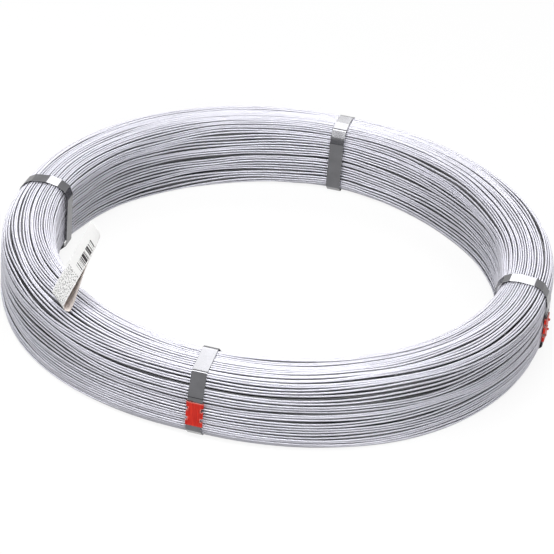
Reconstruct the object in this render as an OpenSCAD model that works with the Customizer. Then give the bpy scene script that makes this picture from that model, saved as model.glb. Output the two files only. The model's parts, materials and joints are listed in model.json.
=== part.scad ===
// Coil of smooth galvanised fence wire, lying flat, tied with four crimped steel straps.
// Origin on the floor at the coil's axis, +Z up, front strap towards -Y. Millimetres.

/* [Coil] */
// Diameter of the open eye in the middle of the coil
eye_d = 568; // [400:2:700]
// Thickness of the bundle of turns, from the eye outwards
bundle_w = 66; // [56:1:110]
// Height of the bundle of turns
bundle_h = 95; // [84:1:150]
// Radius of the bundle's upper edge beside the eye
eye_crown = 23; // [14:1:36]
// Radius of the bundle's upper edge on the outside
outer_crown = 24; // [14:1:36]
// Radius of the bundle's lower edges, pressed flatter by its weight
foot_round = 15; // [10:1:30]
// Diameter of the wire
wire_d = 2.5; // [1.6:0.1:4]
// Space between neighbouring turns on the surface of the bundle
turn_space = 1.7; // [0.5:0.1:4]

/* [Straps] */
// Width of each steel strap
strap_w = 19; // [13:1:32]
// Thickness of the strap
strap_t = 0.6; // [0.4:0.1:0.8]
// Radius inside each bend of a strap
bend_r = 7; // [3:0.5:12]
// Gap between a strap and the turns under it
strap_gap = 0.3; // [0.25:0.05:0.4]
// Length of strap end left standing above the seal
lap_over = 6; // [2:1:10]

/* [Seals] */
// Length of a seal along its strap
seal_len = 33; // [24:1:40]
// Thickness of the seal's sheet
seal_t = 0.9; // [0.6:0.1:1.2]
// Width of each lip folded behind the strap
seal_lip = 6; // [4:0.5:8]
// Gap between a seal and the strap inside it
seal_gap = 0.15; // [0.1:0.05:0.25]
// Distance from the strap's lower bend up to the seal
seal_rise = 3; // [0.5:0.5:8]
// Depth of a crimp notch into the seal's edge
notch_depth = 3; // [2:0.5:4]
// Length of a crimp notch at the edge
notch_len = 5; // [3:0.5:6]
// Distance between the two notches on one edge
notch_pitch = 14; // [10:1:16]
// Height of the ear turned out of each notch
ear_h = 2.2; // [1:0.2:3]

/* [Tag] */
// Width of the paper tag
tag_w = 37; // [20:1:50]
// Length of the tag from its fold to its free end
tag_len = 104; // [70:1:140]
// Thickness of the paper
tag_t = 0.3; // [0.2:0.1:0.5]
// Radius inside the fold that loops round the wire
fold_r = 4; // [2:0.5:6]
// Length over which the two legs stand apart
leg_len = 56; // [30:1:60]
// Direction of the tag round the coil, anticlockwise from +X
tag_turn = 234; // [200:1:250]
// Distance of the fold in from the coil's outside
tag_inset = 14; // [12:0.5:36]
// Lean of the tag towards the eye
tag_lean = 24; // [0:1:40]
// Turn of the fold away from the run of the wire
tag_skew = 13; // [0:1:15]

/* [Hidden] */
$fn = 96;
SIDES = ["right", "back", "left", "front"];

ZINC = [0.74, 0.75, 0.79];
STRAP_GREY = [0.43, 0.43, 0.44];
SEAL_RED = [0.80, 0.09, 0.07];
PAPER_WHITE = [0.95, 0.94, 0.91];

// Section of the bundle: a rectangle with round edges, which never grow past the middle of a side
edge_limit = min(bundle_w, bundle_h) / 2 - wire_d;
eye_crown_r = min(eye_crown, edge_limit);
outer_crown_r = min(outer_crown, edge_limit);
foot_r = min(foot_round, edge_limit);
mid_r = eye_d / 2 + bundle_w / 2;
mid_z = strap_t + strap_gap + bundle_h / 2;
turn_pitch = wire_d + turn_space;
turn_sides = 8;

// The strap lies on the bundle in straight runs, one for each of these directions
run_step = 30;
run_count = 360 / run_step;
bend_steps = 4;
seal_room = seal_t + seal_gap;

// Distance from the bundle's middle to the strap's inner face on the run that faces a direction
function run_distance(turn) =
    let (crown_r = cos(turn) > 0 ? outer_crown_r : eye_crown_r)
    let (edge_r = turn > 180 ? foot_r : crown_r)
    (bundle_w / 2 - edge_r) * abs(cos(turn)) + (bundle_h / 2 - edge_r) * abs(sin(turn))
        + edge_r + strap_gap + (turn == 0 ? seal_room : 0);

// Centre of the bend between the run that faces a direction and the next one
function bend_centre(turn) =
    let (this_run = run_distance(turn) - bend_r)
    let (next_run = run_distance((turn + run_step) % 360) - bend_r)
    [
        (this_run * sin(turn + run_step) - next_run * sin(turn)) / sin(run_step),
        (next_run * cos(turn) - this_run * cos(turn + run_step)) / sin(run_step)
    ];

// Outline of the strap's path, at a distance outside its bend centres
function strap_outline(radius) = [
    for (run = [0 : run_count - 1], step = [0 : bend_steps])
        let (turn = run * run_step + run_step * step / bend_steps)
        bend_centre(run * run_step) + radius * [cos(turn), sin(turn)]
];

// The outer upright run, where the ends lap and the seal sits
strap_face = run_distance(0);
seal_low = bend_centre(360 - run_step)[1] + seal_rise;
seal_mid = seal_low + seal_len / 2;
seal_half_w = strap_w / 2 + seal_gap + seal_t;
seal_back = strap_face - seal_gap - seal_t;
seal_front = strap_face + 2 * strap_t + seal_gap + seal_t;

// Evenly spaced places along a stretch, no further apart than the turns' pitch
function places(from, to, along) =
    let (count = max(1, ceil(along / turn_pitch)))
    [for (i = [0 : count]) from + (to - from) * i / count];

// Upper half of the bundle's section: a core, with the turns of wire that show on its end and its outside
module half_section(eye_r, outer_r) {
    end_z = (bundle_h - wire_d) / 2;
    outside_x = (bundle_w - wire_d) / 2;
    eye_flat = bundle_w / 2 - eye_r;
    outer_flat = bundle_w / 2 - outer_r;
    outside_z = bundle_h / 2 - outer_r;
    translate([-eye_flat, 0]) square([eye_flat + outer_flat, end_z]);
    translate([-bundle_w / 2, 0]) square([bundle_w / 2, bundle_h / 2 - eye_r]);
    square([outside_x, outside_z]);
    for (x = places(-eye_flat, outer_flat, eye_flat + outer_flat))
        translate([x, end_z]) turn();
    for (z = places(0, outside_z, outside_z))
        translate([outside_x, z]) turn();
    rounded_edge(outer_r);
    mirror([1, 0]) rounded_edge(eye_r);
}

// Rounded edge of the bundle's section, with its turns of wire
module rounded_edge(edge_r) {
    core_r = edge_r - wire_d / 2;
    translate([bundle_w / 2 - edge_r, bundle_h / 2 - edge_r]) {
        circle(r = core_r);
        for (angle = places(0, 90, core_r * PI / 2))
            translate(core_r * [cos(angle), sin(angle)]) turn();
    }
}

// Section of one turn of wire
module turn() {
    circle(d = wire_d, $fn = turn_sides);
}

module wire_coil() {
    color(ZINC)
    translate([0, 0, mid_z])
    rotate_extrude()
    translate([mid_r, 0]) {
        half_section(eye_crown_r, outer_crown_r);
        mirror([0, 1]) half_section(foot_r, foot_r);
    }
}

// Stands a section drawn in the bundle's own plane upright, through the bundle's middle
module upright_section(width) {
    translate([mid_r, 0, mid_z])
    rotate([90, 0, 0])
    linear_extrude(width, center = true)
    children();
}

// Crimp notches, cut through the seal and both layers of strap
module notches() {
    for (edge = [-1, 1], along = [-1, 1])
        translate([mid_r + seal_back - seal_t, 0, mid_z + seal_mid + along * notch_pitch / 2])
        rotate([0, 90, 0])
        linear_extrude(seal_front - seal_back + 2 * seal_t)
        polygon([
            [-notch_len / 2, edge * (seal_half_w + seal_t)],
            [-notch_len / 2, edge * (seal_half_w - notch_depth / 2)],
            [-notch_len / 4, edge * (seal_half_w - notch_depth)],
            [notch_len / 4, edge * (seal_half_w - notch_depth)],
            [notch_len / 2, edge * (seal_half_w - notch_depth / 2)],
            [notch_len / 2, edge * (seal_half_w + seal_t)]
        ]);
}

// One strap: a closed band in straight runs, with its end lapped over the outer upright run
module strap() {
    color(STRAP_GREY)
    difference() {
        upright_section(strap_w) {
            difference() {
                polygon(strap_outline(bend_r + strap_t));
                polygon(strap_outline(bend_r));
            }
            translate([strap_face, seal_low]) square([2 * strap_t, seal_len + lap_over]);
        }
        notches();
    }
}

// Section of the seal across the strap: a plate with both sides folded round to lips behind
module seal_section() {
    difference() {
        union() {
            for (x = [seal_back + seal_t, seal_front - seal_t], side = [-1, 1])
                translate([x, side * (seal_half_w - seal_t)]) circle(r = seal_t);
            translate([seal_back, seal_t - seal_half_w])
                square([seal_front - seal_back, 2 * (seal_half_w - seal_t)]);
            translate([seal_back + seal_t, -seal_half_w])
                square([seal_front - seal_back - 2 * seal_t, 2 * seal_half_w]);
        }
        translate([strap_face - seal_gap, -strap_w / 2 - seal_gap])
            square([2 * strap_t + 2 * seal_gap, strap_w + 2 * seal_gap]);
        translate([seal_back - seal_t, seal_lip - seal_half_w])
            square([2 * seal_t, 2 * (seal_half_w - seal_lip)]);
    }
}

// Ears turned outwards where the crimping jaws cut the notches
module ears() {
    for (edge = [-1, 1], along = [-1, 1])
        translate([
            mid_r + seal_front - seal_t,
            edge * (seal_half_w - notch_depth - seal_t / 2),
            mid_z + seal_mid + along * notch_pitch / 2
        ])
        rotate([90, 0, 0])
        linear_extrude(seal_t, center = true)
        polygon([
            [0, -notch_len / 2],
            [seal_t + ear_h, -notch_len / 4],
            [seal_t + ear_h, notch_len / 4],
            [0, notch_len / 2]
        ]);
}

module seal() {
    color(SEAL_RED)
    union() {
        difference() {
            translate([mid_r, 0, mid_z + seal_low]) linear_extrude(seal_len) seal_section();
            notches();
        }
        ears();
    }
}

// Outline of the tag's loop: a circle drawn out to the point where the legs meet
module loop_outline(radius, reach) {
    tangent = asin(radius / reach);
    circle(r = radius, $fn = 48);
    polygon([
        [radius * cos(tangent), radius * sin(tangent)],
        [0, reach],
        [-radius * cos(tangent), radius * sin(tangent)]
    ]);
}

// The tag: a strip of paper looped at its foot, its legs meeting in a doubled flag above
module tag() {
    tag_r = mid_r + bundle_w / 2 - tag_inset;
    skewed_in = tag_w / 2 * sin(tag_skew);
    edge_x = max(0, outer_crown_r - tag_inset - skewed_in);
    reach = outer_crown_r + strap_gap + tag_t + fold_r;
    fold_z = mid_z + bundle_h / 2 - outer_crown_r + sqrt(reach * reach - edge_x * edge_x);
    leg_slope = fold_r / leg_len;
    color(PAPER_WHITE)
    rotate([0, 0, tag_turn])
    translate([tag_r, 0, fold_z])
    rotate([0, -tag_lean, -tag_skew])
    rotate([90, 0, 0])
    linear_extrude(tag_w, center = true) {
        difference() {
            loop_outline(fold_r + tag_t, leg_len + tag_t / leg_slope);
            loop_outline(fold_r, leg_len);
        }
        translate([-tag_t, leg_len]) square([2 * tag_t, tag_len - leg_len - fold_r - tag_t]);
    }
}

// Turns a piece built at +X to the side that a strap is on
module at_side(index) {
    rotate([0, 0, 90 * index]) children();
}

wire_coil();
for (i = [0 : len(SIDES) - 1]) {
    at_side(i) strap();
    at_side(i) seal();
}
tag();
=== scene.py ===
import json
import math

import bmesh
import bpy
from mathutils import Matrix, Vector


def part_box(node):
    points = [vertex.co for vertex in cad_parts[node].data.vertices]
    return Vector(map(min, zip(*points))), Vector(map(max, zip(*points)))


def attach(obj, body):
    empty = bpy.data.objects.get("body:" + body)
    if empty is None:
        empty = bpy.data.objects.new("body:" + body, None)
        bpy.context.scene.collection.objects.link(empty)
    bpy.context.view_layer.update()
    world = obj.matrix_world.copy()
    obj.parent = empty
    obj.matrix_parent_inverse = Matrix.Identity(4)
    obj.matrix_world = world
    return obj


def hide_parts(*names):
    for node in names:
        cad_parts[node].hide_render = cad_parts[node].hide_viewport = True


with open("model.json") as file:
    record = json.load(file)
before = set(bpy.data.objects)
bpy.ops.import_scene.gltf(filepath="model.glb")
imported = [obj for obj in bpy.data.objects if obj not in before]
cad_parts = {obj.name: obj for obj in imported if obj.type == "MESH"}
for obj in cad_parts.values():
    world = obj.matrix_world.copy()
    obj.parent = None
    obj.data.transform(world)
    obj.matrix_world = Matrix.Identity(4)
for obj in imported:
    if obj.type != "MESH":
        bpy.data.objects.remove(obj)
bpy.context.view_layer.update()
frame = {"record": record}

# The wire
# One length of smooth steel wire, drawn to 2.5 mm, dipped in zinc and wound turn on turn into a bundle
# with an open eye. Only the straps hold the turns, so between them they swell, gape and cross a little.
WIRE = 0.0025
coil_low, coil_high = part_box("wire_coil")
EYE_RADIUS = frame["record"]["mounts"][0]["dims"]["r_mm"] / 1000
OUTSIDE_RADIUS = coil_high.x
BUNDLE_WIDTH = OUTSIDE_RADIUS - EYE_RADIUS
BUNDLE_HEIGHT = coil_high.z - coil_low.z
BUNDLE_RADIUS = (EYE_RADIUS + OUTSIDE_RADIUS) / 2
BUNDLE_LEVEL = (coil_low.z + coil_high.z) / 2
EYE_CROWN = 0.023
OUTER_CROWN = 0.024
FOOT = 0.015
SLACK_FOOT = 0.005
SWELL = 0.0044
SAG = 0.0009
LUMP = 0.0016
PINCH = 0.003
BUNCHING = 0.014
CORNER_POINTS = 10
LEAST_CORNER = 0.0005
# The bundle's front is pressed to two flats. Each has the way it faces and its distance from the middle.
FRONT_FLATS = ((math.radians(80.0), 0.0432), (math.radians(19.4), 0.0367))
FRONT_BEGINS = 0.82
FRONT_WHOLE = 0.97
# Where the turns lie most open, as a share of the way round the section, and its move at the front
MOST_OPEN = 0.95
FRONT_SHIFT = 0.04
# How soon past a strap the turns are free of it, and free of its pull on the eye side
FREED = 12.0
UNPINCHED = 9.0
# How strong the quick drift and the drift of groups are beside the slow drift of each turn
QUICK_DRIFT = 0.4
GROUP_DRIFT = 4.0
NOISE_SPREAD = 3.0
FLOAT_RESULT = 1
# Where a mix node has its share, its two values and its result
MIX_SOCKETS = {"VECTOR": (0, 4, 5, 1), "RGBA": (0, 6, 7, 2)}


def feed(tree, socket, value):
    """Links an output to a socket, or sets the socket to a plain value."""
    if isinstance(value, bpy.types.NodeSocket):
        tree.links.new(value, socket)
    else:
        socket.default_value = value


def add_node(tree, kind, settings=(), **values):
    """A node with its settings made, and with the inputs named, _ for a space, fed."""
    made = tree.nodes.new(kind)
    for key, value in dict(settings).items():
        setattr(made, key, value)
    for key, value in values.items():
        feed(tree, made.inputs[key.replace("_", " ")], value)
    return made


def work_out(tree, operation, *values):
    """The result of one sum on plain values and outputs."""
    made = add_node(tree, "ShaderNodeMath", {"operation": operation})
    for socket, value in zip(made.inputs, values):
        feed(tree, socket, value)
    return made.outputs["Value"]


def mix(tree, kind, share, first, second):
    """A vector or colour that goes over into another as a share goes from 0 to 1."""
    made = add_node(tree, "ShaderNodeMix", {"data_type": kind})
    share_at, first_at, second_at, result_at = MIX_SOCKETS[kind]
    feed(tree, made.inputs[share_at], share)
    feed(tree, made.inputs[first_at], first)
    feed(tree, made.inputs[second_at], second)
    return made.outputs[result_at]


def new_finish(name):
    """A new material, its tree and its shader."""
    material = bpy.data.materials.new(name)
    material.use_nodes = True
    return material, material.node_tree, material.node_tree.nodes["Principled BSDF"]


def speckle(tree, where, scale, detail=2.0):
    """Smooth noise from 0 to 1 over a surface."""
    return add_node(tree, "ShaderNodeTexNoise", Vector=where, Scale=scale, Detail=detail).outputs["Fac"]


def on_the_piece(tree):
    """The place on the piece, in metres."""
    return add_node(tree, "ShaderNodeTexCoord").outputs["Object"]


def between(tree, share, low, high):
    """A value that goes from low to high as a share goes from 0 to 1."""
    return add_node(tree, "ShaderNodeMapRange", Value=share, To_Min=low, To_Max=high).outputs["Result"]


def tone(tree, share, dark, light, low=0.0, high=1.0):
    """A colour that goes from dark to light as a share goes from low to high."""
    ramp = add_node(tree, "ShaderNodeValToRGB", Fac=share)
    for element, place, colour in zip(ramp.color_ramp.elements, (low, high), (dark, light)):
        element.position = place
        element.color = (*colour, 1)
    return ramp.outputs["Color"]


def roughen(tree, shader, height, strength, depth):
    """Fine relief on a surface."""
    bump = add_node(tree, "ShaderNodeBump", Strength=strength, Distance=depth, Height=height)
    feed(tree, shader.inputs["Normal"], bump.outputs["Normal"])


def zinc_coat(name, dark, light):
    """Zinc over steel: pale blue-grey, a little duller and darker on some turns than on others."""
    material, tree, shader = new_finish(name)
    shader.inputs["Metallic"].default_value = 0.15
    shader.inputs["Specular IOR Level"].default_value = 1.0
    place = on_the_piece(tree)
    bloom = speckle(tree, place, scale=70.0, detail=5.0)
    turn_tone = add_node(tree, "ShaderNodeAttribute", {"attribute_name": "turn_tone"}).outputs["Fac"]
    both = work_out(tree, "MULTIPLY", work_out(tree, "ADD", bloom, turn_tone), 0.5)
    feed(tree, shader.inputs["Base Color"], tone(tree, both, dark, light, low=0.1, high=0.9))
    feed(tree, shader.inputs["Roughness"], between(tree, bloom, low=0.28, high=0.44))
    roughen(tree, shader, speckle(tree, place, scale=1400.0), strength=0.15, depth=0.0002)
    return material


def winding_tree():
    """Geometry nodes that wind a wire round the coil while it creeps once round the bundle's section."""
    tree = bpy.data.node_groups.new("winding", "GeometryNodeTree")
    for label in ("Eye Radius", "Bundle Width", "Bundle Height", "Level", "Eye Crown", "Outer Crown",
                  "Foot", "Slack Foot", "Swell", "Sag", "Top Flat", "Face Flat", "Top Flat Facing",
                  "Face Flat Facing", "Wire", "Depth", "Start", "Creep", "Bunching", "Wander", "Stray",
                  "Lump", "Pinch", "Seed"):
        tree.interface.new_socket(label, in_out="INPUT", socket_type="NodeSocketFloat")
    for label in ("Turns", "Steps", "Sides"):
        tree.interface.new_socket(label, in_out="INPUT", socket_type="NodeSocketInt")
    tree.interface.new_socket("Material", in_out="INPUT", socket_type="NodeSocketMaterial")
    tree.interface.new_socket("Geometry", in_out="OUTPUT", socket_type="NodeSocketGeometry")
    given = add_node(tree, "NodeGroupInput").outputs
    result = add_node(tree, "NodeGroupOutput")

    def node(kind, settings=(), **values):
        return add_node(tree, kind, settings, **values)

    def sum_of(operation, *values):
        return work_out(tree, operation, *values)

    def add(a, b):
        return sum_of("ADD", a, b)

    def take(a, b):
        return sum_of("SUBTRACT", a, b)

    def times(a, b):
        return sum_of("MULTIPLY", a, b)

    def split(vector):
        return node("ShaderNodeSeparateXYZ", Vector=vector).outputs

    def smooth_step(value, low, high):
        return node("ShaderNodeMapRange", {"interpolation_type": "SMOOTHSTEP"}, Value=value,
                    From_Min=low, From_Max=high).outputs["Result"]

    # The section that the wire's middle follows, X outwards and Y upwards: tight, or slack at the foot
    inset = add(given["Wire"], times(given["Depth"], 2.0))
    inset_half = times(inset, 0.5)
    oblong = node("GeometryNodeCurvePrimitiveQuadrilateral", Width=take(given["Bundle Width"], inset),
                  Height=take(given["Bundle Height"], inset))
    corner = split(node("GeometryNodeInputPosition").outputs["Position"])
    is_upper = sum_of("GREATER_THAN", corner["Y"], 0.0)
    is_outer = sum_of("GREATER_THAN", corner["X"], 0.0)
    crown = add(given["Eye Crown"], times(is_outer, take(given["Outer Crown"], given["Eye Crown"])))

    def section(foot):
        radius = take(add(foot, times(is_upper, take(crown, foot))), inset_half)
        return node("GeometryNodeFilletCurve", {"mode": "POLY"}, Curve=oblong.outputs["Curve"],
                    Count=CORNER_POINTS, Radius=sum_of("MAXIMUM", radius, LEAST_CORNER),
                    Limit_Radius=True).outputs["Curve"]

    # One point for each step of each turn
    line = node("GeometryNodeCurvePrimitiveLine").outputs["Curve"]
    count = add(times(given["Turns"], given["Steps"]), 1.0)
    wire = node("GeometryNodeResampleCurve", Curve=line, Count=count).outputs["Curve"]
    turn = sum_of("DIVIDE", node("GeometryNodeInputIndex").outputs["Index"], given["Steps"])
    angle = times(turn, 2 * math.pi)
    cosine, sine = sum_of("COSINE", angle), sum_of("SINE", angle)

    def noise(along, seed, round_rate, along_rate, start):
        """Smooth noise, mostly from -1 to 1, that runs round the coil without a seam."""
        depth = add(times(along, along_rate), add(seed, start))
        where = node("ShaderNodeCombineXYZ", X=times(cosine, round_rate), Y=times(sine, round_rate),
                     Z=depth)
        made = node("ShaderNodeTexNoise", {"noise_dimensions": "3D"}, Vector=where.outputs["Vector"],
                    Scale=1.0, Detail=1.0)
        return times(take(made.outputs["Fac"], 0.5), NOISE_SPREAD)

    # The straps stand at the four quarters: the turns are tight there and slack halfway between
    double = sum_of("SINE", times(angle, 2.0))
    slack = times(double, double)
    loose = sum_of("MINIMUM", times(slack, FREED), 1.0)

    # Each turn drifts along the section by itself, and between the straps groups of turns drift together
    creep = times(sum_of("DIVIDE", turn, given["Turns"]), given["Creep"])
    seed = given["Seed"]
    slow_drift = noise(turn, seed, round_rate=0.9, along_rate=0.83, start=3.0)
    quick_drift = noise(turn, seed, round_rate=2.5, along_rate=1.7, start=41.0)
    group_drift = noise(turn, seed, round_rate=1.5, along_rate=0.17, start=101.0)
    alone = add(slow_drift, times(quick_drift, times(loose, QUICK_DRIFT)))
    drift = add(alone, times(group_drift, times(slack, GROUP_DRIFT)))
    share = add(add(given["Start"], creep), times(drift, given["Wander"]))

    # The turns lie closer on the top and the underside than on the two upright sides, and the open turns
    # of the outer side go higher at the front
    front = smooth_step(times(sine, -1.0), FRONT_BEGINS, FRONT_WHOLE)
    most_open = add(MOST_OPEN, times(front, FRONT_SHIFT))
    closer = sum_of("SINE", times(take(share, most_open), 4 * math.pi))
    share = sum_of("FRACT", add(share, times(closer, given["Bunching"])))
    tight_spot = node("GeometryNodeSampleCurve", {"mode": "FACTOR"}, Curves=section(given["Foot"]),
                      Factor=share)
    slack_spot = node("GeometryNodeSampleCurve", {"mode": "FACTOR"}, Curves=section(given["Slack Foot"]),
                      Factor=share)
    tight_place, slack_place = tight_spot.outputs["Position"], slack_spot.outputs["Position"]
    spot = split(mix(tree, "VECTOR", slack, tight_place, slack_place))
    run = split(tight_spot.outputs["Tangent"])
    out_x, out_y = run["Y"], times(run["X"], -1.0)
    x, y = spot["X"], spot["Y"]

    # The front is pressed to two flats
    for facing, reach in (("Top Flat Facing", "Top Flat"), ("Face Flat Facing", "Face Flat")):
        flat_x, flat_y = sum_of("COSINE", given[facing]), sum_of("SINE", given[facing])
        over = take(add(times(x, flat_x), times(y, flat_y)), take(given[reach], inset_half))
        over = times(sum_of("MAXIMUM", over, 0.0), front)
        x, y = take(x, times(flat_x, over)), take(y, times(flat_y, over))

    # Turns stray from the surface, bands of them sink in, and the eye side draws in beside each strap
    stray = times(noise(turn, seed, round_rate=1.6, along_rate=1.31, start=77.0), given["Stray"])
    stray = add(times(sum_of("MAXIMUM", stray, 0.0), loose), sum_of("MINIMUM", stray, 0.0))
    band = noise(share, 0.0, round_rate=0.7, along_rate=17.0, start=9.0)
    sunk = times(smooth_step(band, low=0.1, high=0.6), given["Lump"])
    beside = take(1.0, sum_of("MINIMUM", times(slack, UNPINCHED), 1.0))
    drawn = times(times(sum_of("MAXIMUM", times(out_x, -1.0), 0.0), beside), given["Pinch"])
    proud = take(stray, add(sunk, drawn))
    outward = add(sum_of("DIVIDE", x, given["Bundle Width"]), 0.5)
    downward = take(0.5, sum_of("DIVIDE", y, given["Bundle Height"]))
    x = add(add(x, times(out_x, proud)), times(times(sum_of("SQRT", slack), outward), given["Swell"]))
    y = take(add(y, times(out_y, proud)), times(times(slack, downward), given["Sag"]))
    radius = add(add(given["Eye Radius"], times(given["Bundle Width"], 0.5)), x)
    height = sum_of("MAXIMUM", add(given["Level"], y), times(given["Wire"], 0.5))
    place = node("ShaderNodeCombineXYZ", X=times(radius, cosine), Y=times(radius, sine), Z=height)

    wound = node("GeometryNodeSetPosition", Geometry=wire, Position=place.outputs["Vector"])
    level = node("GeometryNodeSetCurveNormal", {"mode": "Z_UP"}, Curve=wound.outputs["Geometry"])
    chance = node("FunctionNodeRandomValue", {"data_type": "FLOAT"}, ID=sum_of("FLOOR", turn))
    kept = node("GeometryNodeStoreNamedAttribute", {"data_type": "FLOAT", "domain": "POINT"},
                Geometry=level.outputs["Curve"], Name="turn_tone", Value=chance.outputs[FLOAT_RESULT])
    ring = node("GeometryNodeCurvePrimitiveCircle", Resolution=given["Sides"],
                Radius=times(given["Wire"], 0.5))
    tube = node("GeometryNodeCurveToMesh", Curve=kept.outputs["Geometry"],
                Profile_Curve=ring.outputs["Curve"], Fill_Caps=True)
    smooth = node("GeometryNodeSetShadeSmooth", Geometry=tube.outputs["Mesh"])
    whole = node("GeometryNodeRealizeInstances", Geometry=smooth.outputs["Geometry"])
    coated = node("GeometryNodeSetMaterial", Geometry=whole.outputs["Geometry"],
                  Material=given["Material"])
    feed(tree, result.inputs["Geometry"], coated.outputs["Geometry"])
    return tree


winding = winding_tree()
winding_inputs = [item for item in winding.interface.items_tree if item.in_out == "INPUT"]
winding_sockets = {item.name: item.identifier for item in winding_inputs}


def as_made(carrier):
    """A plain mesh of an object with its modifiers worked in."""
    bpy.context.view_layer.update()
    evaluated = carrier.evaluated_get(bpy.context.evaluated_depsgraph_get())
    return bpy.data.meshes.new_from_object(evaluated)


def new_piece(name, mesh):
    """A piece of the object in the scene."""
    piece = bpy.data.objects.new(name, mesh)
    bpy.context.scene.collection.objects.link(piece)
    return piece


def stand_for(piece, node):
    """Fixes a finished piece to the object in place of a node, which it hides."""
    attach(piece, "root")
    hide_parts(node)


def wound_turns(name, material, **sizes):
    """One stretch of the wire, wound as a layer of the bundle."""
    carrier = new_piece(name, bpy.data.meshes.new(name))
    modifier = carrier.modifiers.new("winding", "NODES")
    modifier.node_group = winding
    shared = {"Eye Radius": EYE_RADIUS, "Bundle Width": BUNDLE_WIDTH, "Bundle Height": BUNDLE_HEIGHT,
              "Level": BUNDLE_LEVEL, "Eye Crown": EYE_CROWN, "Outer Crown": OUTER_CROWN, "Foot": FOOT,
              "Slack Foot": SLACK_FOOT, "Swell": SWELL, "Sag": SAG, "Wire": WIRE, "Lump": LUMP,
              "Pinch": PINCH, "Bunching": BUNCHING, "Material": material}
    for label, (facing, reach) in zip(("Top Flat", "Face Flat"), FRONT_FLATS):
        shared[label] = reach
        shared[label + " Facing"] = facing
    for label, value in {**shared, **sizes}.items():
        modifier[winding_sockets[label]] = value
    mesh = as_made(carrier)
    bpy.data.objects.remove(carrier)
    stand_for(new_piece(name, mesh), "wire_coil")


bright_zinc = zinc_coat("bright_zinc", dark=(0.515, 0.512, 0.572), light=(0.70, 0.697, 0.775))
# The second and third layers take a near-black copy of the same zinc: painted shade, so the gaps between
# the outer turns look dark.
painted_shade_zinc = zinc_coat("painted_shade_zinc", dark=(0.036, 0.036, 0.040), light=(0.080, 0.080, 0.089))
wound_turns("outer_turns", bright_zinc, Depth=0.0, Start=0.62, Creep=1.0, Wander=0.005, Stray=0.0009,
            Seed=3.0, Turns=80, Steps=200, Sides=6)
wound_turns("second_turns", painted_shade_zinc, Depth=0.0024, Start=0.60, Creep=-1.0, Wander=0.006, Stray=0.0006,
            Seed=19.0, Turns=80, Steps=150, Sides=6)
wound_turns("third_turns", painted_shade_zinc, Depth=0.0048, Start=0.64, Creep=1.0, Wander=0.005, Stray=0.0003,
            Seed=31.0, Turns=98, Steps=120, Sides=5)

# The straps
# Flat rolled steel, 19 mm wide, pulled tight round the bundle in short straight runs with bends between.
# The ends lap on the outside of the coil, where the sealer's jaws notch both layers with the seal.
STRAP_WIDTH = 0.019
STRAP_THICK = 0.0006
STRAP_GAP = 0.0003
STRAP_BEND = 0.004
STRAP_BEND_STEP = 8
RUN_END_PARTS = 5
EASED_SHARE = 0.3
SHARP_EDGE = math.radians(40)
SEAL_ROOM = 0.00105
LAP_OVER = 0.006
LAP_GAP = 0.00005
NOTCH_DEPTH = 0.003
NOTCH_LENGTH = 0.005
NOTCH_PITCH = 0.014
STEEL_DARK = (0.140, 0.140, 0.147)
STEEL_LIGHT = (0.172, 0.172, 0.182)
ROLLED_LINES = (2200.0, 18.0, 1.0)
seal_low, seal_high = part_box("seal_right")
SEAL_LEVEL = (seal_low.z + seal_high.z) / 2
SEAL_HALF_WIDTH = seal_high.y
QUARTERS = {"right": 0.0, "back": math.pi / 2, "left": math.pi, "front": 3 * math.pi / 2}
# The way each run faces, in degrees up from straight outwards, in order round the bundle
STRAP_RUNS = {
    "right": (0, 12, 37, 66, 86, 98, 118, 145, 180, 225, 270, 315),
    "back": (0, 20, 40, 65, 88, 103, 140, 165, 180, 225, 270, 315),
    "left": (0, 17, 35, 59, 83, 101, 120, 159, 180, 225, 270, 315),
    "front": (0, 10, 19.4, 80, 104, 135, 180, 225, 270, 315),
}


def pressed(outline, facing, reach):
    """An outline cut straight across where it reaches past a flat."""
    way = Vector((math.cos(facing), math.sin(facing)))
    kept = []
    for point, following in zip(outline, outline[1:] + outline[:1]):
        over, next_over = point.dot(way) - reach, following.dot(way) - reach
        if over <= 0:
            kept.append(point)
        if over * next_over < 0:
            kept.append(point.lerp(following, over / (over - next_over)))
    return kept


def bundle_outline(side):
    """Points round the bundle's section under a strap, from its middle, X outwards and Y upwards."""
    half_w, half_h = BUNDLE_WIDTH / 2, BUNDLE_HEIGHT / 2
    outline = []
    for degrees in range(360):
        facing = math.radians(degrees + 0.5)
        way_x, way_y = math.cos(facing), math.sin(facing)
        radius = FOOT if way_y < 0 else (OUTER_CROWN if way_x > 0 else EYE_CROWN)
        outline.append(Vector((math.copysign(half_w - radius, way_x) + radius * way_x,
                               math.copysign(half_h - radius, way_y) + radius * way_y)))
    for facing, reach in FRONT_FLATS if side == "front" else ():
        outline = pressed(outline, facing, reach)
    return outline


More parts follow.
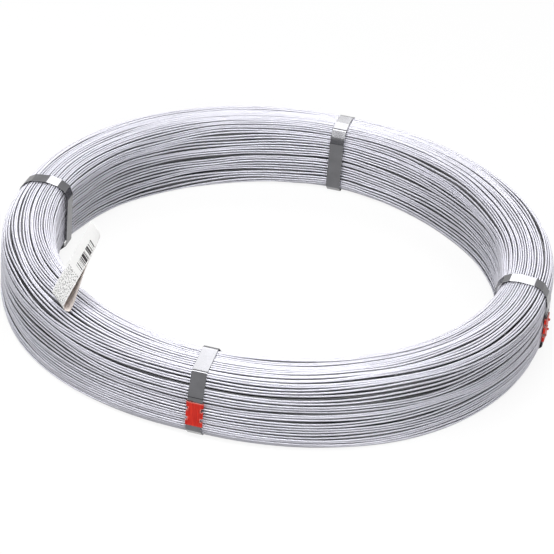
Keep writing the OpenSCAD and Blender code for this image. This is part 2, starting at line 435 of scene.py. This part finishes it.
def strap_path(side):
    """The middle of the strap's thickness, from its inner end once round to its outer end."""
    outline = bundle_outline(side)
    runs = []
    for degrees in STRAP_RUNS[side]:
        facing = math.radians(degrees)
        way = Vector((math.cos(facing), math.sin(facing)))
        reach = max(point.dot(way) for point in outline) + STRAP_GAP + STRAP_THICK / 2
        runs.append((facing, reach + (SEAL_ROOM if degrees == 0 else 0)))
    inner_face = runs[0][1]
    path = [Vector((inner_face, seal_low.z - BUNDLE_LEVEL - STRAP_BEND / 2))]
    for index, (facing, reach) in enumerate(runs):
        next_facing, next_reach = runs[(index + 1) % len(runs)]
        if index + 1 == len(runs):
            next_facing, next_reach = 2 * math.pi, next_reach + STRAP_THICK + LAP_GAP
        turn = next_facing - facing
        corner = Vector((reach * math.sin(next_facing) - next_reach * math.sin(facing),
                         next_reach * math.cos(facing) - reach * math.cos(next_facing))) / math.sin(turn)
        middle = (facing + next_facing) / 2
        centre = corner - Vector((math.cos(middle), math.sin(middle))) * STRAP_BEND / math.cos(turn / 2)
        steps = max(2, round(math.degrees(turn) / STRAP_BEND_STEP))
        for step in range(steps + 1):
            bend = facing + turn * step / steps
            path.append(centre + Vector((math.cos(bend), math.sin(bend))) * STRAP_BEND)
    path.append(Vector((inner_face + STRAP_THICK + LAP_GAP, seal_high.z - BUNDLE_LEVEL + LAP_OVER)))
    # Two more points near the ends of each run keep it flat right up to its bends
    flat = []
    for point, following in zip(path, path[1:]):
        flat.append(point)
        if (following - point).length > STRAP_BEND:
            beside = (following - point).normalized() * STRAP_BEND / RUN_END_PARTS
            flat += [point + beside, following - beside]
    return flat + path[-1:]


def lay_strip(mesh, path, width, thick, place, columns=2):
    """Adds a closed strip along a path, with eased edges, a UV map along it and its inside marked."""
    uv = mesh.loops.layers.uv.get("along") or mesh.loops.layers.uv.new("along")
    inside = mesh.faces.layers.float.get("inside") or mesh.faces.layers.float.new("inside")
    ease = thick * EASED_SHARE
    half, skin = width / 2, thick / 2
    across = [(half - ease) * (2 * column / columns - 1) for column in range(columns + 1)]
    outer_face = [(place_across, skin) for place_across in across]
    inner_face = [(place_across, -skin) for place_across in reversed(across)]
    profile = [(-half, skin - ease), *outer_face, (half, skin - ease),
               (half, ease - skin), *inner_face, (-half, ease - skin)]
    rings, lengths = [], []
    for index, point in enumerate(path):
        run = (path[min(index + 1, len(path) - 1)] - path[max(index - 1, 0)]).normalized()
        normal = Vector((run.y, -run.x))
        lengths.append(lengths[-1] + (point - path[index - 1]).length if index else 0.0)
        ring = []
        for place_across, out in profile:
            spot = point + normal * out
            ring.append(mesh.verts.new(place(spot.x, place_across, spot.y)))
        rings.append(ring)
    count = len(profile)
    for index in range(len(rings) - 1):
        for k in range(count):
            n = (k + 1) % count
            corners = ((k, index), (n, index), (n, index + 1), (k, index + 1))
            face = mesh.faces.new([rings[row][col] for col, row in corners])
            face[inside] = 1.0 if profile[k][1] < 0 and profile[n][1] < 0 else 0.0
            for loop, (col, row) in zip(face.loops, corners):
                loop[uv].uv = (profile[col][0], lengths[row])
    mesh.faces.new(reversed(rings[0]))
    mesh.faces.new(rings[-1])


def smooth_piece(name, mesh):
    """A piece with its faces outwards, smooth apart from its sharp edges."""
    bmesh.ops.recalc_face_normals(mesh, faces=mesh.faces)
    made = bpy.data.meshes.new(name)
    mesh.to_mesh(made)
    mesh.free()
    for polygon in made.polygons:
        polygon.use_smooth = True
    made.set_sharp_from_angle(angle=SHARP_EDGE)
    return new_piece(name, made)


def notched(piece, turned, ease=0.0):
    """Cuts the sealer's four notches into a strap or a seal, and eases the edges."""
    jaws = bmesh.new()
    deep, beyond = SEAL_HALF_WIDTH - NOTCH_DEPTH, SEAL_HALF_WIDTH + NOTCH_DEPTH
    shoulder = deep + NOTCH_DEPTH / 2
    wide, narrow = NOTCH_LENGTH / 2, NOTCH_LENGTH / 4
    outline = [(beyond, -wide), (shoulder, -wide), (deep, -narrow), (deep, narrow), (shoulder, wide),
               (beyond, wide)]
    for edge in (-1, 1):
        for level in (SEAL_LEVEL - NOTCH_PITCH / 2, SEAL_LEVEL + NOTCH_PITCH / 2):
            ends = []
            for out in (seal_low.x - NOTCH_DEPTH, seal_high.x + NOTCH_DEPTH):
                spots = [Vector((out, edge * across, level + up)) for across, up in outline]
                ends.append([jaws.verts.new(turned @ spot) for spot in spots])
            jaws.faces.new(ends[0])
            jaws.faces.new(reversed(ends[1]))
            for k in range(len(outline)):
                n = (k + 1) % len(outline)
                jaws.faces.new((ends[0][n], ends[0][k], ends[1][k], ends[1][n]))
    jaws = smooth_piece("jaws", jaws)
    cut = piece.modifiers.new("cut", "BOOLEAN")
    cut.operation = "DIFFERENCE"
    cut.solver = "EXACT"
    cut.object = jaws
    if ease:
        eased = piece.modifiers.new("eased", "BEVEL")
        eased.width = ease
        eased.segments = 2
        eased.angle_limit = SHARP_EDGE
    made = as_made(piece)
    piece.modifiers.clear()
    piece.data = made
    bpy.data.objects.remove(jaws)


def strap_steel():
    """Rolled steel strip with fine lines along it, smudged and a little dull in places."""
    material, tree, shader = new_finish("strap_steel")
    shader.inputs["Metallic"].default_value = 1.0
    along = add_node(tree, "ShaderNodeUVMap", {"uv_map": "along"}).outputs["UV"]
    rolled = add_node(tree, "ShaderNodeMapping", Vector=along, Scale=ROLLED_LINES).outputs["Vector"]
    smear = speckle(tree, on_the_piece(tree), scale=55.0, detail=4.0)
    steel = tone(tree, smear, STEEL_DARK, STEEL_LIGHT, low=0.3, high=0.7)
    feed(tree, shader.inputs["Base Color"], steel)
    feed(tree, shader.inputs["Roughness"], between(tree, smear, low=0.10, high=0.20))
    roughen(tree, shader, speckle(tree, rolled, scale=1.0), strength=0.12, depth=0.0001)
    return material


strap_metal = strap_steel()
for side, quarter in QUARTERS.items():
    turned = Matrix.Rotation(quarter, 3, "Z")

    def on_the_strap(x, across, y):
        return turned @ Vector((BUNDLE_RADIUS + x, across, BUNDLE_LEVEL + y))

    strip = bmesh.new()
    lay_strip(strip, strap_path(side), STRAP_WIDTH, STRAP_THICK, on_the_strap)
    strap = smooth_piece("strap_of_" + side, strip)
    notched(strap, turned)
    strap.data.materials.append(strap_metal)
    stand_for(strap, "strap_" + side)

# The seals
# Red painted sheet steel, folded from the front round the lapped strap ends, with a lip behind each side.
# A hand sealer crimps it: its jaws cut two notches into each edge and turn an ear out of each.
SEAL_SHEET = 0.0009
SEAL_LIP = 0.006
SEAL_BEND = 0.0006
SEAL_BEND_STEPS = 5
SEAL_EDGE = 0.00012
SHEET_STEP = 0.001
EAR_SHEET = SEAL_SHEET * 0.85
EAR_HEIGHT = 0.0022
EAR_BEND = 0.0008
EAR_BEND_STEPS = 6
EAR_LEAN = math.radians(80)
EAR_TAPER = 0.5
EAR_WEAR = 0.8
CRIMP_DENT = 0.0003
RUBBED_BAND = 0.0008
RED_DARK = (0.60, 0.018, 0.011)
RED_LIGHT = (0.86, 0.045, 0.025)
RUBBED_RED = (0.66, 0.24, 0.21, 1)
STREAKS = (1.0, 1.0, 0.08)
PLATE_FACE = seal_high.x - EAR_HEIGHT
SEAL_LENGTH = seal_high.z - seal_low.z


def sleeve_path():
    """The middle of the seal's sheet, outwards and across, from the end of one lip round to the other."""
    back, plate = seal_low.x + SEAL_SHEET / 2, PLATE_FACE - SEAL_SHEET / 2
    side, lip = SEAL_HALF_WIDTH - SEAL_SHEET / 2, SEAL_HALF_WIDTH - SEAL_LIP
    spots = ((back, -lip), (back, -side), (plate, -side), (plate, side), (back, side), (back, lip))
    corners = [Vector(spot) for spot in spots]
    path = [corners[0]]
    for before, corner, after in zip(corners, corners[1:], corners[2:]):
        way_in, way_out = (corner - before).normalized(), (after - corner).normalized()
        for step in range(SEAL_BEND_STEPS + 1):
            turn = math.pi / 2 * step / SEAL_BEND_STEPS
            eased = way_in * (math.sin(turn) - 1) + way_out * (1 - math.cos(turn))
            path.append(corner + SEAL_BEND * eased)
    path.append(corners[-1])
    fine = []
    for point, following in zip(path, path[1:]):
        pieces = math.ceil((following - point).length / SHEET_STEP)
        fine += [point.lerp(following, piece / pieces) for piece in range(pieces)]
    return fine + path[-1:]


def ear_path(edge):
    """The middle of an ear's sheet, which leaves the plate beside a notch and bends outwards."""
    foot = SEAL_HALF_WIDTH - NOTCH_DEPTH - EAR_BEND
    plate = PLATE_FACE - SEAL_SHEET / 2
    path = [Vector((plate, edge * (foot - EAR_BEND)))]
    for step in range(EAR_BEND_STEPS + 1):
        turn = EAR_LEAN * step / EAR_BEND_STEPS
        across = edge * (foot + EAR_BEND * math.sin(turn))
        path.append(Vector((plate + EAR_BEND * (1 - math.cos(turn)), across)))
    rise = seal_high.x - SEAL_SHEET / 4 - path[-1].x
    path.append(path[-1] + Vector((rise, edge * rise / math.tan(EAR_LEAN))))
    return path


def crimped(out, up, across):
    """How far the plate is pressed in by the jaws."""
    if out <= PLATE_FACE - 2 * SEAL_SHEET:
        return 0.0
    at_jaws = math.exp(-((abs(up) - NOTCH_PITCH / 2) / NOTCH_DEPTH) ** 2)
    return CRIMP_DENT * at_jaws * (across / SEAL_HALF_WIDTH) ** 2


def rubbed(out, across, up):
    """How far the paint is rubbed thin: at the ends, round the notches and on the ears."""
    if out > PLATE_FACE + EAR_HEIGHT / 3:
        return EAR_WEAR
    in_from_notch = max(0.0, SEAL_HALF_WIDTH - NOTCH_DEPTH - abs(across))
    along_from_notch = max(0.0, abs(abs(up) - NOTCH_PITCH / 2) - NOTCH_LENGTH / 2)
    gap = min(SEAL_LENGTH / 2 - abs(up), math.hypot(in_from_notch, along_from_notch))
    return max(0.0, 1.0 - gap / RUBBED_BAND)


def seal_paint():
    """Satin red paint, streaked along the strap and rubbed thin where it was crimped."""
    material, tree, shader = new_finish("seal_paint")
    shader.inputs["Specular IOR Level"].default_value = 0.25
    place = on_the_piece(tree)
    upright = add_node(tree, "ShaderNodeMapping", Vector=place, Scale=STREAKS).outputs["Vector"]
    streak = speckle(tree, upright, scale=700.0, detail=3.0)
    red = tone(tree, streak, RED_DARK, RED_LIGHT, low=0.3, high=0.7)
    worn = add_node(tree, "ShaderNodeAttribute", {"attribute_name": "rubbed"}).outputs["Fac"]
    patchy = between(tree, speckle(tree, place, scale=900.0, detail=4.0), low=0.2, high=1.5)
    thin = work_out(tree, "MINIMUM", work_out(tree, "MULTIPLY", worn, patchy), 1.0)
    feed(tree, shader.inputs["Base Color"], mix(tree, "RGBA", thin, red, RUBBED_RED))
    feed(tree, shader.inputs["Roughness"], between(tree, streak, low=0.28, high=0.5))
    roughen(tree, shader, speckle(tree, place, scale=1800.0), strength=0.2, depth=0.0001)
    return material


red_paint = seal_paint()
for side, quarter in QUARTERS.items():
    turned = Matrix.Rotation(quarter, 3, "Z")

    def on_the_sleeve(out, up, across):
        return turned @ Vector((out - crimped(out, up, across), across, SEAL_LEVEL + up))

    sheet = bmesh.new()
    lay_strip(sheet, sleeve_path(), SEAL_LENGTH, SEAL_SHEET, on_the_sleeve, columns=33)
    sleeve = smooth_piece("sleeve", sheet)
    notched(sleeve, turned, ease=SEAL_EDGE)
    sheet = bmesh.new()
    sheet.from_mesh(sleeve.data)
    bpy.data.objects.remove(sleeve)
    for edge in (-1, 1):
        for level in (-NOTCH_PITCH / 2, NOTCH_PITCH / 2):
            def on_the_ear(out, up, across):
                narrowed = 1.0 - EAR_TAPER * (out - PLATE_FACE + SEAL_SHEET) / (EAR_HEIGHT + SEAL_SHEET)
                return turned @ Vector((out, across, SEAL_LEVEL + level + up * narrowed))

            lay_strip(sheet, ear_path(edge), NOTCH_LENGTH, EAR_SHEET, on_the_ear, columns=4)
    seal = smooth_piece("seal_of_" + side, sheet)
    wear = seal.data.attributes.new("rubbed", "FLOAT", "POINT")
    for vertex, value in zip(seal.data.vertices, wear.data):
        spot = turned.inverted() @ vertex.co
        value.value = rubbed(spot.x, spot.y, spot.z - SEAL_LEVEL)
    seal.data.materials.append(red_paint)
    stand_for(seal, "seal_" + side)

# The tag
# A strip of printed label paper looped over the top turns and stuck to itself, so it stands as a flag.
# Its outer face is white and its inner face is painted a darker tan, as shade inside the loop.
TAG_WIDTH = 0.037
TAG_LENGTH = 0.104
TAG_PAPER = 0.0003
TAG_FOLD = 0.004
TAG_LEG = 0.068
TAG_SIDEWAYS = 0.006
TAG_INSET = 0.014
TAG_TURN = math.radians(234)
TAG_LEAN = math.radians(24)
TAG_SKEW = math.radians(13)
TAG_CURL = 0.0022
TAG_CUP = 2.4
TAG_TWIST = 1.3
TAG_RIPPLE = 0.0006
RIPPLE_UP = 9.0
RIPPLE_ACROSS = 60.0
LAYER_SHARE = 0.55
LEG_STEPS = 14
TOP_STEPS = 10
FOLD_STEPS = 16
PAPER_DARK = (0.93, 0.927, 0.92)
PAPER_LIGHT = (0.97, 0.968, 0.962)
# The inner face's tan is painted shade: a darker copy of the white paper where the loop shades its
# inside.
SHADED_INSIDE_DARK = (0.62, 0.555, 0.52)
SHADED_INSIDE_LIGHT = (0.74, 0.68, 0.65)
INK = (0.012, 0.009, 0.011, 1)
# Where the bars and the specks lie, across the tag and up it from the fold
BARS_ACROSS = (-0.001, 0.0165)
BARS_UP = (0.054, 0.092)
SPECKS_ACROSS = (-0.016, 0.016)
SPECKS_UP = (0.004, 0.047)
SPECKS_OVER = 0.56
SPECK_INK = 0.7
THIN_BAR_INK = 0.7
fold_reach = OUTER_CROWN + STRAP_GAP + TAG_PAPER + TAG_FOLD
fold_beside = max(0.0, OUTER_CROWN - TAG_INSET - TAG_WIDTH / 2 * math.sin(TAG_SKEW))
fold_over_crown = math.sqrt(fold_reach ** 2 - fold_beside ** 2)
FOLD_PLACE = Vector((OUTSIDE_RADIUS - TAG_INSET, 0, coil_high.z - OUTER_CROWN + fold_over_crown))
tag_way = Matrix.Rotation(-TAG_SKEW, 3, "Z") @ Matrix.Rotation(-TAG_LEAN, 3, "Y")


def tag_path():
    """The middle of the paper, from the top of its back layer down round the fold and up to the front."""
    loop = TAG_FOLD + TAG_PAPER / 2
    layer = TAG_PAPER * LAYER_SHARE
    top = TAG_LENGTH - TAG_FOLD - TAG_PAPER
    up_one_leg = []
    for step in range(LEG_STEPS + 1):
        share = step / LEG_STEPS
        apart = layer + (loop - layer) * (1 + math.cos(math.pi * share)) / 2
        up_one_leg.append(Vector((apart, TAG_LEG * share)))
    for step in range(1, TOP_STEPS + 1):
        up_one_leg.append(Vector((layer, TAG_LEG + (top - TAG_LEG) * step / TOP_STEPS)))
    round_the_fold = []
    for step in range(1, FOLD_STEPS):
        turn = math.pi * (1 + step / FOLD_STEPS)
        round_the_fold.append(Vector((loop * math.cos(turn), loop * math.sin(turn))))
    down_the_other = [Vector((-spot.x, spot.y)) for spot in reversed(up_one_leg)]
    return down_the_other + round_the_fold + up_one_leg


def on_the_tag(x, across, y):
    """The tag's own set: the back leg is drawn sideways at the fold, and the flag bows back a little."""
    if y < 0:
        to_the_back = min(1.0, max(0.0, (TAG_FOLD - x) / (2 * TAG_FOLD)))
    else:
        to_the_back = 1.0 if x < 0 else 0.0
    across += TAG_SIDEWAYS * to_the_back * max(0.0, 1.0 - max(0.0, y) / TAG_LEG)
    height = max(0.0, y / TAG_LENGTH)
    cupped = math.cos(across / TAG_WIDTH * TAG_CUP) - TAG_TWIST * across / TAG_WIDTH
    bow = TAG_CURL * height ** 2 * cupped
    bow += TAG_RIPPLE * math.sin(height * RIPPLE_UP + across * RIPPLE_ACROSS) * height
    spot = FOLD_PLACE + tag_way @ Vector((x - bow, across, y))
    return Matrix.Rotation(TAG_TURN, 3, "Z") @ spot


def label_paper(fold_along):
    """White paper with a block of plain bars and a grain of faint specks on its front, and a darker tan
    inside as painted shade.
    """
    material, tree, shader = new_finish("label_paper")
    place = on_the_piece(tree)
    flat = add_node(tree, "ShaderNodeUVMap", {"uv_map": "along"}).outputs["UV"]
    spot = add_node(tree, "ShaderNodeSeparateXYZ", Vector=flat).outputs
    across, height = spot["X"], work_out(tree, "SUBTRACT", spot["Y"], fold_along)

    def printed(marks, over_width, over_height):
        """Marks kept to an oblong of the tag."""
        for value, (low, high) in ((across, over_width), (height, over_height)):
            within = work_out(tree, "COMPARE", value, (low + high) / 2, (high - low) / 2)
            marks = work_out(tree, "MULTIPLY", marks, within)
        return marks

    def by_chance(width, seed, share):
        """1 on some of the lines across the tag, which are all of one width."""
        line = work_out(tree, "FLOOR", work_out(tree, "DIVIDE", height, width))
        chance = add_node(tree, "ShaderNodeTexWhiteNoise", {"noise_dimensions": "1D"},
                          W=work_out(tree, "ADD", line, seed)).outputs["Value"]
        return work_out(tree, "LESS_THAN", chance, share)

    wide_bars = by_chance(width=0.0012, seed=7.3, share=0.26)
    thin_bars = work_out(tree, "MULTIPLY", by_chance(width=0.0006, seed=4.1, share=0.36), THIN_BAR_INK)
    bars = printed(work_out(tree, "MAXIMUM", wide_bars, thin_bars), BARS_ACROSS, BARS_UP)
    grain = work_out(tree, "GREATER_THAN", speckle(tree, flat, scale=560.0, detail=1.0), SPECKS_OVER)
    specks = work_out(tree, "MULTIPLY", printed(grain, SPECKS_ACROSS, SPECKS_UP), SPECK_INK)
    back = add_node(tree, "ShaderNodeAttribute", {"attribute_name": "inside"}).outputs["Fac"]
    front = work_out(tree, "SUBTRACT", 1.0, back)
    ink = work_out(tree, "MULTIPLY", work_out(tree, "MAXIMUM", bars, specks), front)
    fibre = speckle(tree, place, scale=500.0, detail=5.0)
    white = tone(tree, fibre, PAPER_DARK, PAPER_LIGHT, low=0.3, high=0.7)
    shaded_inside = tone(tree, fibre, SHADED_INSIDE_DARK, SHADED_INSIDE_LIGHT, low=0.3, high=0.7)
    paper_colour = mix(tree, "RGBA", back, white, shaded_inside)
    feed(tree, shader.inputs["Base Color"], mix(tree, "RGBA", ink, paper_colour, INK))
    feed(tree, shader.inputs["Roughness"], between(tree, fibre, low=0.6, high=0.8))
    roughen(tree, shader, fibre, strength=0.15, depth=0.0002)
    return material


paper_way = tag_path()
paper_length = sum((b - a).length for a, b in zip(paper_way, paper_way[1:]))
paper = bmesh.new()
lay_strip(paper, paper_way, TAG_WIDTH, TAG_PAPER, on_the_tag, columns=12)
tag = smooth_piece("paper_tag", paper)
tag.data.materials.append(label_paper(paper_length / 2))
stand_for(tag, "tag")

# The studio
# A white table in a white room, a tall oval soft light high behind the coil, a wide one nearly overhead
# in front, and two small ones at the front right and the front left.
FLOOR_HALF = 30.0
TABLE_GLOW = 0.88
floor_corners = [(-FLOOR_HALF, -FLOOR_HALF, 0), (FLOOR_HALF, -FLOOR_HALF, 0),
                 (FLOOR_HALF, FLOOR_HALF, 0), (-FLOOR_HALF, FLOOR_HALF, 0)]
floor_mesh = bpy.data.meshes.new("studio_floor")
floor_mesh.from_pydata(floor_corners, [], [(0, 1, 2, 3)])
new_piece("studio_floor", floor_mesh)


def seen_directly(tree):
    """1 for what the camera sees, itself or in metal or glass, and 0 for light that surfaces pass on."""
    paths = add_node(tree, "ShaderNodeLightPath").outputs
    metal_or_glass = work_out(tree, "MAXIMUM", paths["Is Glossy Ray"], paths["Is Transmission Ray"])
    return work_out(tree, "MAXIMUM", paths["Is Camera Ray"], metal_or_glass)


def white_table():
    """A pale surface that looks white and keeps part of the shadow that falls on it."""
    material, tree, shader = new_finish("white_table")
    tree.nodes.remove(shader)
    seen = seen_directly(tree)
    pale = between(tree, seen, low=0.2, high=0.9)
    matt = add_node(tree, "ShaderNodeBsdfDiffuse", Color=pale).outputs["BSDF"]
    white = add_node(tree, "ShaderNodeEmission").outputs["Emission"]
    mixed = add_node(tree, "ShaderNodeMixShader", Fac=work_out(tree, "MULTIPLY", seen, TABLE_GLOW))
    for socket, surface in zip(mixed.inputs[1:], (matt, white)):
        feed(tree, socket, surface)
    feed(tree, tree.nodes["Material Output"].inputs["Surface"], mixed.outputs["Shader"])
    return material


floor_mesh.materials.append(white_table())

world = bpy.data.worlds.new("studio")
bpy.context.scene.world = world
world.use_nodes = True
world_tree = world.node_tree
sky = world_tree.nodes["Background"]
sky.inputs["Color"].default_value = (1, 1, 1, 1)
brightness = between(world_tree, seen_directly(world_tree), low=0.10, high=1.0)
feed(world_tree, sky.inputs["Strength"], brightness)


def soft_light(name, place, across, deep, radiance):
    """An oval soft light that faces the coil."""
    data = bpy.data.lights.new(name, "AREA")
    data.shape = "ELLIPSE"
    data.size = across
    data.size_y = deep
    data.energy = radiance * math.pi * math.pi * across * deep / 4
    lamp = bpy.data.objects.new(name, data)
    lamp.location = place
    lamp.rotation_euler = (-Vector(place)).to_track_quat("-Z", "Y").to_euler()
    bpy.context.scene.collection.objects.link(lamp)


soft_light("back_light", place=(-1.41, 6.64, 5.90), across=4.6, deep=5.6, radiance=5.8)
soft_light("over_light", place=(-0.3, -1.3, 2.85), across=3.2, deep=0.8, radiance=13.2)
soft_light("side_light", place=(2.3, -1.9, 1.5), across=1.6, deep=1.6, radiance=6.6)
soft_light("left_light", place=(-2.2, -2.0, 2.0), across=1.6, deep=1.6, radiance=3.5)

# The camera
# It looks down on the coil from about 31 degrees, a little to the right of the front strap, with a roll.
VIEW_TURN = math.radians(13.5)
VIEW_HEIGHT = math.radians(30.88)
VIEW_ROLL = math.radians(4.95)
PICTURE = 554.0
FOCAL_PIXELS = 2594.0
COIL_CENTRE_PIXEL = (277.95, 261.5)
VIEW_DISTANCE = 9.5 * OUTSIDE_RADIUS
backward = Vector((math.sin(VIEW_TURN) * math.cos(VIEW_HEIGHT),
                   -math.cos(VIEW_TURN) * math.cos(VIEW_HEIGHT), math.sin(VIEW_HEIGHT)))
level_right = Vector((math.cos(VIEW_TURN), math.sin(VIEW_TURN), 0))
right = math.cos(VIEW_ROLL) * level_right + math.sin(VIEW_ROLL) * backward.cross(level_right)
up = backward.cross(right)
off_x = (PICTURE / 2 - COIL_CENTRE_PIXEL[0]) / FOCAL_PIXELS
off_y = (PICTURE / 2 - COIL_CENTRE_PIXEL[1]) / FOCAL_PIXELS
backward_aim = (backward - right * off_x + up * off_y).normalized()
right_aim = (right - backward_aim * right.dot(backward_aim)).normalized()
aimed = Matrix((right_aim, backward_aim.cross(right_aim), backward_aim)).transposed()
camera_data = bpy.data.cameras.new("camera")
camera_data.sensor_width = 36.0
camera_data.lens = FOCAL_PIXELS / PICTURE * camera_data.sensor_width
camera = bpy.data.objects.new("camera", camera_data)
stand = Vector((0, 0, BUNDLE_HEIGHT / 2)) + backward * VIEW_DISTANCE
camera.matrix_world = Matrix.Translation(stand) @ aimed.to_4x4()
bpy.context.scene.collection.objects.link(camera)
bpy.context.scene.camera = camera
bpy.context.scene.view_settings.view_transform = "Standard"
